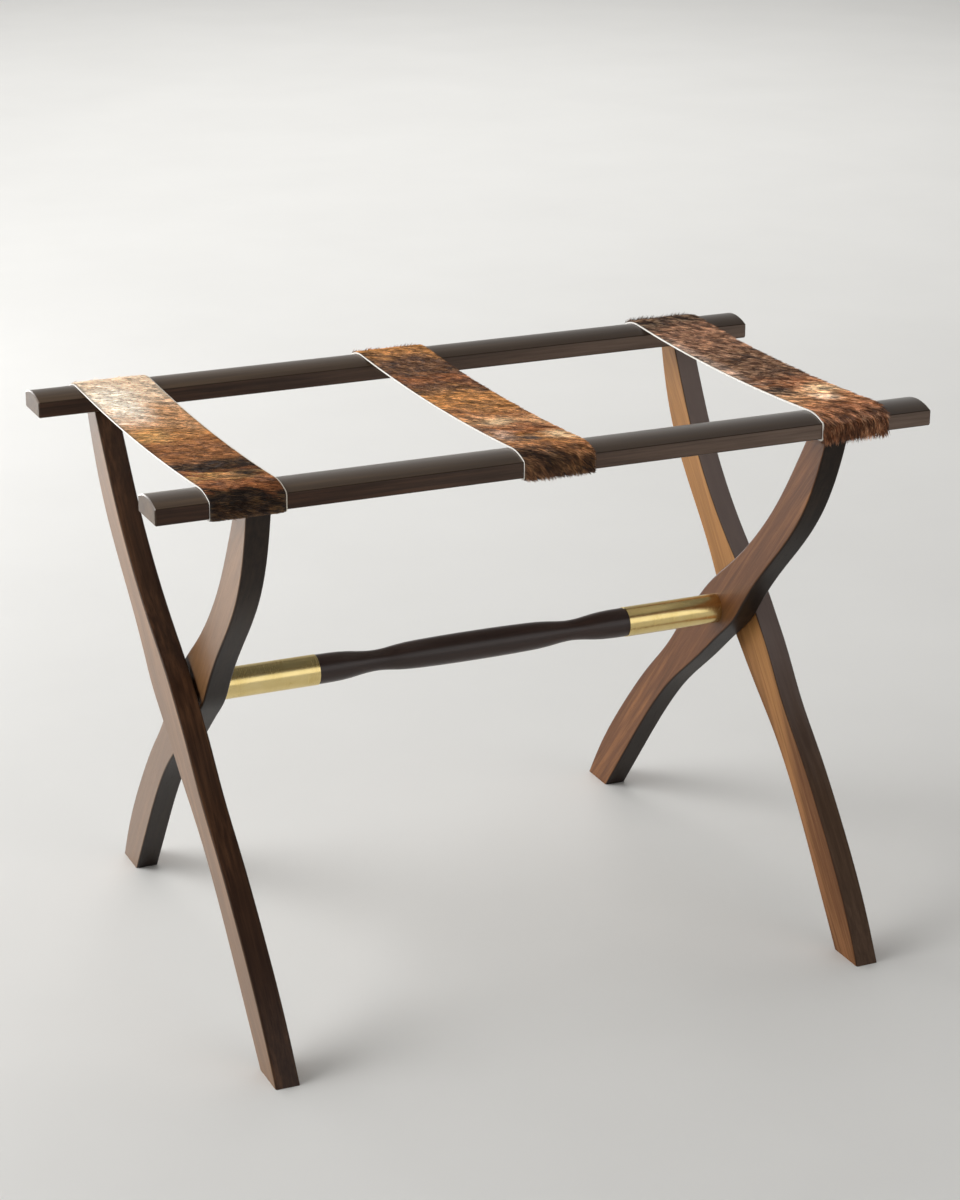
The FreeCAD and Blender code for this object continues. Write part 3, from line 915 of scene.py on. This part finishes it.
class HairTree(Graph):
    """A Geometry Nodes tree with named inputs."""

    def __init__(self, name):
        super().__init__(bpy.data.node_groups.new(name, "GeometryNodeTree"))
        sockets = self.tree.interface
        sockets.new_socket("Geometry", in_out="OUTPUT", socket_type="NodeSocketGeometry")
        for label, kind in hair_inputs.items():
            sockets.new_socket(label, in_out="INPUT", socket_type=kind)
        self.given = self.tree.nodes.new("NodeGroupInput")

    def asked(self, name):
        return Wire(self, self.given.outputs[name])

    def chance(self, low, high, salt):
        """A random number for each hair, and another one for each salt."""
        sockets = {2: low, 3: high, "Seed": self.asked("Seed") + salt}
        return self.node("FunctionNodeRandomValue", {"data_type": "FLOAT"}, sockets, out=1)

    def vector(self, x, y, z):
        return self.node("ShaderNodeCombineXYZ", {}, {0: x, 1: y, 2: z})

    def noise_at(self, place, scale, detail):
        sockets = {"Vector": place, "Scale": scale, "Detail": detail}
        return self.node("ShaderNodeTexNoise", {}, sockets)

    def remembered(self, name):
        """A vector that each corner of the skin keeps."""
        settings = {"data_type": "FLOAT_VECTOR"}
        return self.node("GeometryNodeInputNamedAttribute", settings, {"Name": name})

    def keeping(self, geometry, name, value, domain):
        """The geometry, in which each point or instance keeps a number."""
        settings = {"data_type": "FLOAT", "domain": domain}
        sockets = {"Geometry": geometry, "Name": name, "Value": value}
        return self.node("GeometryNodeStoreNamedAttribute", settings, sockets)


def one_hair(tree):
    """A spindle from its root at the origin towards X. It rises most near its root and lies
    flatter towards its tip."""
    sizes = {"Segments": 3, "Rings": 2, "Radius": 1.0}
    spindle = tree.node("GeometryNodeMeshUVSphere", {}, sizes)
    place = tree.node("GeometryNodeInputPosition")
    along = tree.one_of(place, 2) * 0.5 + 0.5
    reach = along * (along * 0.5 + 0.5)
    rise = along * (1.5 - along * 0.5)
    side = tree.one_of(place, 1) * tree.asked("Width") * width_share
    outward = tree.one_of(place, 0) * tree.asked("Width") * thickness_share
    height = rise * tree.asked("Length") * tree.asked("Lift") + outward
    drawn = tree.vector(reach * tree.asked("Length"), side, height)
    kept = tree.keeping(spindle, "along", along, "POINT")
    return tree.node("GeometryNodeSetPosition", {}, {"Geometry": kept, "Position": drawn})


print("a hair tree takes", ", ".join(hair_inputs))

# %% [markdown]
# Each hair is turned from the lie of the coat by two noises, a slow one for swirls and a quick one
# for locks, and by a little chance of its own. Hairs near the right edge are shortened, so that
# they don't stick out past it by more than the coat's overhang. The left edge needs no such care,
# because the hair is combed away from it.

# %% Hair tree
swirls_a_metre = 45.0
locks_a_metre = 240.0
swirl_turn = 1.4
lock_turn = 1.8
middle_turn = (swirl_turn + lock_turn) / 2


def hair_tree():
    """Geometry Nodes that grow a coat of hair on a skin."""
    tree = HairTree("coat_of_hair")
    scatter = {"Mesh": tree.asked("Skin"), "Density": tree.asked("Density"), "Seed": tree.asked("Seed")}
    points = tree.node("GeometryNodeDistributePointsOnFaces", {}, scatter)
    normal = Wire(tree, points.socket.node.outputs["Normal"])
    lie, root = tree.remembered("lie"), tree.remembered("root")
    swirl = tree.noise_at(root, swirls_a_metre, 2.0) * swirl_turn
    lock = tree.noise_at(root, locks_a_metre, 1.0) * lock_turn
    turn = (swirl + lock + tree.chance(-0.3, 0.3, 1) - middle_turn) * tree.asked("Disorder")
    about = {"Vector": lie, "Center": (0, 0, 0), "Axis": normal, "Angle": turn}
    combed = tree.node("ShaderNodeVectorRotate", {}, about)
    axes = {"primary_axis": "Z", "secondary_axis": "X"}
    facing = tree.node("FunctionNodeAxesToRotation", axes, {0: normal, 1: combed})
    space = (tree.asked("Edge") - tree.one_of(root, 0)) / (tree.one_of(lie, 0) * tree.asked("Length"))
    size = space.maths("MINIMUM", space, tree.chance(0.7, 1.15, 2))
    scales = tree.vector(size, tree.chance(0.8, 1.2, 3), size * tree.chance(0.5, 1.3, 4))
    planted = {"Points": points, "Instance": one_hair(tree), "Rotation": facing, "Scale": scales}
    grown = tree.node("GeometryNodeInstanceOnPoints", {}, planted)
    toned = tree.keeping(grown, "tone", tree.chance(0.0, 1.0, 5), "INSTANCE")
    solid = tree.node("GeometryNodeRealizeInstances", {}, {"Geometry": toned})
    dressed = {"Geometry": solid, "Material": tree.asked("Finish")}
    end = tree.tree.nodes.new("NodeGroupOutput")
    tree.plug(end.inputs[0], tree.node("GeometryNodeSetMaterial", {}, dressed))
    return tree.tree


coat_tree = hair_tree()
print("hair tree has", len(coat_tree.nodes), "nodes")

# %% [markdown]
# The tree needs to know which way the hair lies. That is an attribute too: a direction at each
# corner of the skin, turned from the strap's own width towards its length. The lie changes
# where the strap goes over the front rail: combed straight down on one strap, across on another.
# A modifier's input is set by its socket's identifier, before the object is first evaluated.
#
# A coat may later be baked to a picture. So that the picture is the flat hide itself, every hair
# is laid out as a small triangle round the place of its root.

# %% Grow the hair
hairs_per_square_metre = 1060000.0
corners_of_a_hair = 5
lie_stops = (0, 0.2, 0.87, 0.915, 1)


def lie_directions(coat):
    """The lie of the hair at each row of the strap, from back to front."""
    share = line_length / strap_length
    over_back, between_rails, over_front = np.radians(coat["lie"])
    turns = (over_back, between_rails, between_rails, over_front, over_front)
    angle = np.interp(share, lie_stops, turns)
    sideways = np.cos(angle)[:, None] * np.array((1.0, 0, 0))
    return sideways + np.sin(angle)[:, None] * line_ahead


def roots_of(mesh):
    """Where each corner of a mesh is rooted on the flat hide: across, along, nothing."""
    root = np.zeros(len(mesh.vertices) * 3, np.float32)
    mesh.attributes["root"].data.foreach_get("vector", root)
    return root.reshape(-1, 3)


def lay_out(mesh):
    """Lays every hair flat. Its two ends go to its root's place, its three middle corners round
    it, so each hair covers a small triangle of the flat hide."""
    margin, reach = 0.02, 0.004
    number = np.arange(len(mesh.vertices)) % corners_of_a_hair
    turn = number * (2 * math.pi / 3)
    out = np.where((number > 0) & (number < corners_of_a_hair - 1), reach, 0)
    share = roots_of(mesh)[:, :2] / (strap_width, strap_length) + (0.5, 0)
    flat = share * (1 - 2 * margin) + margin + np.stack((np.cos(turn), np.sin(turn)), 1) * out[:, None]
    corner = np.zeros(len(mesh.loops), np.int32)
    mesh.loops.foreach_get("vertex_index", corner)
    layer = mesh.uv_layers.new(name="OFBake")
    layer.uv.foreach_set("vector", flat[corner].astype(np.float32).ravel())


def grow(name, skin, coat):
    """Runs the hair tree on a skin and returns the hair as one plain mesh."""
    length_at = roots_of(skin)[:, 1]
    lies = lie_directions(coat)
    lie = np.stack([np.interp(length_at, line_length, lies[:, axis]) for axis in range(3)], axis=1)
    skin.attributes.new("lie", "FLOAT_VECTOR", "POINT").data.foreach_set(
        "vector", lie.astype(np.float32).ravel()
    )
    ground = shown("ground_" + name, skin)
    growth = ground.modifiers.new("coat", "NODES")
    growth.node_group = coat_tree
    wanted = {
        "Density": hairs_per_square_metre,
        "Length": coat["length"],
        "Width": coat["width"],
        "Lift": coat["lift"],
        "Edge": strap_width / 2 + coat["overhang"],
        "Disorder": coat["disorder"],
        "Seed": coat["seed"],
        "Finish": hair_finishes[name],
    }
    for item in coat_tree.interface.items_tree:
        if item.item_type == "SOCKET" and item.in_out == "INPUT" and item.name in wanted:
            growth[item.identifier] = wanted[item.name]
    bpy.context.view_layer.update()
    depsgraph = bpy.context.evaluated_depsgraph_get()
    evaluated = ground.evaluated_get(depsgraph)
    mesh = bpy.data.meshes.new_from_object(
        evaluated, preserve_all_data_layers=True, depsgraph=depsgraph
    )
    ground.modifiers.remove(growth)
    bpy.data.objects.remove(ground)
    bpy.data.meshes.remove(skin)
    lay_out(mesh)
    return shown("hair_" + name, mesh)


hairs = {}
for strap_name, place in strap_places.items():
    columns = columns_of(place)
    skin = hide_mesh(strap_name, columns, kept_cells(columns), False)
    hairs[strap_name] = grow(strap_name, skin, coats[strap_name])
    print("hair", strap_name, "has", len(hairs[strap_name].data.polygons), "faces")

# %% [markdown]
# ## Bending in the fold
# When the rack folds, the front rail swings to the back one, and the straps fold between them.
# Here each row of a strap gets the share of the fold it would turn with about the pivot: none at
# the back rail, all at the front rail. The shares between are chosen so that at the end of the
# fold the two halves would hang side by side in the gap between the rails, each on its own side
# of the middle plane. The shares are worked out, but no point of a strap is turned by them. All
# the angles below are seen from the pivot: how far out the rails begin, how far off the middle a
# half hangs, and how wide the turn between the halves is.

# %% Bend shares
fold_joint = next(joint for joint in frame["joints"] if joint["name"] == "fold")
pivot_height = fold_joint["pos_m"][2]
fold_limit = math.radians(fold_joint["range_deg"][1])
over_rail = math.radians(31.8)
hanging_offset = math.radians(0.95)
turn_span = math.radians(3.0)


def bend_shares():
    """The share of the fold that each row of the strap follows: 0 at the back, 1 at the front."""
    angle = np.arctan2(line_places[:, 1], line_places[:, 2] - pivot_height)
    side = np.clip(angle / turn_span, -1, 1)
    target = fold_limit / 2 + hanging_offset * np.sin(side * math.pi / 2)
    shares = (target - angle) / fold_limit
    shares[angle >= over_rail] = 0
    shares[angle <= -over_rail] = 1
    return np.clip(shares, 0, 1)


row_shares = bend_shares()


def bend_with_fold(piece):
    """Bakes a piece's placement into its mesh and works out each point's share of the fold from its
    place on the hide.
    """
    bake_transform(piece)
    shares = np.interp(roots_of(piece.data)[:, 1], line_length, row_shares)


for strap_name in strap_places:
    hide, hair = hides[strap_name], hairs[strap_name]
    for piece in (hide, hair):
        bend_with_fold(piece)
    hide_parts("strap_" + strap_name)
print("straps bend with the fold; shares run from", row_shares.min(), "to", row_shares.max())

# %% [markdown]
# ## Floor and light
# The rack stands on a plain pale floor, with a hardly visible change of tone. A flat square is
# enough for it.

# %% Floor
floor_mesh = bpy.data.meshes.new("floor")
floor_reach = 12.0
floor_corners = ((-1, -1), (1, -1), (1, 1), (-1, 1))
floor_places = [(x * floor_reach, y * floor_reach, 0) for x, y in floor_corners]
floor_mesh.from_pydata(floor_places, [], [(0, 1, 2, 3)])
floor = shown("floor", floor_mesh)
floor_finish = Finish("pale_floor")
floor_cloud = floor_finish.noise(floor_finish.place(), (3, 3, 3), detail=4)
floor_colour = floor_finish.mixed(floor_cloud, paint(226, 225, 222), paint(234, 233, 230))
floor_mesh.materials.append(floor_finish.finished(Base_Color=floor_colour, Roughness=0.85))
print("floor", 2 * floor_reach, "m wide")

# %% [markdown]
# One big soft light on the left does most of the work: it makes the left faces of the legs glow,
# leaves their fronts dark and drops soft shadows to the right. Two more behind the rack put a
# sheen on the rails and legs, a weak one in front lifts the shadows, and one overhead lights the
# floor behind. Each light has its place, what it looks at, its width and height, and its watts.
# The low softbox gives nothing but sheen, and the top one gives no sheen at all.

# %% Lights
def soft_light(name, place, target, width, height, power):
    """A rectangular area light that looks at a point."""
    data = bpy.data.lights.new(name, "AREA")
    data.shape = "RECTANGLE"
    data.size = width
    data.size_y = height
    data.energy = power
    light = bpy.data.objects.new(name, data)
    bpy.context.scene.collection.objects.link(light)
    light.location = place
    light.visible_camera = False
    light.rotation_mode = "QUATERNION"
    light.rotation_quaternion = (Vector(target) - Vector(place)).to_track_quat("-Z", "Y")
    return light


rack_middle = (0, 0, 0.25)
light_recipes = {
    "left_softbox": ((-3.8, 1.0, 2.4), rack_middle, 3.3, 2.9, 152),
    "rear_softbox": ((-1.9, 2.5, 0.9), rack_middle, 2.4, 1.4, 30),
    "low_softbox": ((-0.9, 2.2, 0.42), (-0.2, 0, 0.35), 1.7, 0.8, 24),
    "front_card": ((1.1, -2.4, 1.1), rack_middle, 2.4, 1.7, 14),
    "top_softbox": ((1.2, 4.2, 3.4), (1.2, 4.2, 0), 4.2, 4.2, 135),
}
lights = {name: soft_light(name, *recipe) for name, recipe in light_recipes.items()}
lights["low_softbox"].visible_diffuse = False
lights["top_softbox"].visible_glossy = False
print("lights:", ", ".join(lights))

# %% [markdown]
# Pale surroundings fill the rest and give the lacquer something to reflect. They are brighter
# behind the rack and dimmer overhead, and where the camera sees them straight on they are an even
# pale grey.

# %% Surroundings
level_light = 0.46
bright_side_gain = 0.2
overhead_loss = 0.8
backdrop_light = 0.8
world = bpy.data.worlds.new("pale_surroundings")
world.use_nodes = True
sky = Graph(world.node_tree)
direction = sky.node("ShaderNodeTexCoord", out="Generated")
bright_side = (0.1, 0.99, 0.0)
towards = sky.vectors("DOT_PRODUCT", direction, bright_side, out="Value")
seen = sky.node("ShaderNodeLightPath", out="Is Camera Ray")
height = abs(sky.one_of(direction, 2))
lighting = (towards * bright_side_gain + level_light) * (1.05 - height * overhead_loss)
backdrop = world.node_tree.nodes["Background"]
sky.plug(backdrop.inputs["Color"], paint(238, 237, 234))
sky.plug(backdrop.inputs["Strength"], seen * backdrop_light + (1 - seen) * lighting)
bpy.context.scene.world = world
bpy.context.scene.view_settings.view_transform = "Standard"
print("surroundings:", world.name)
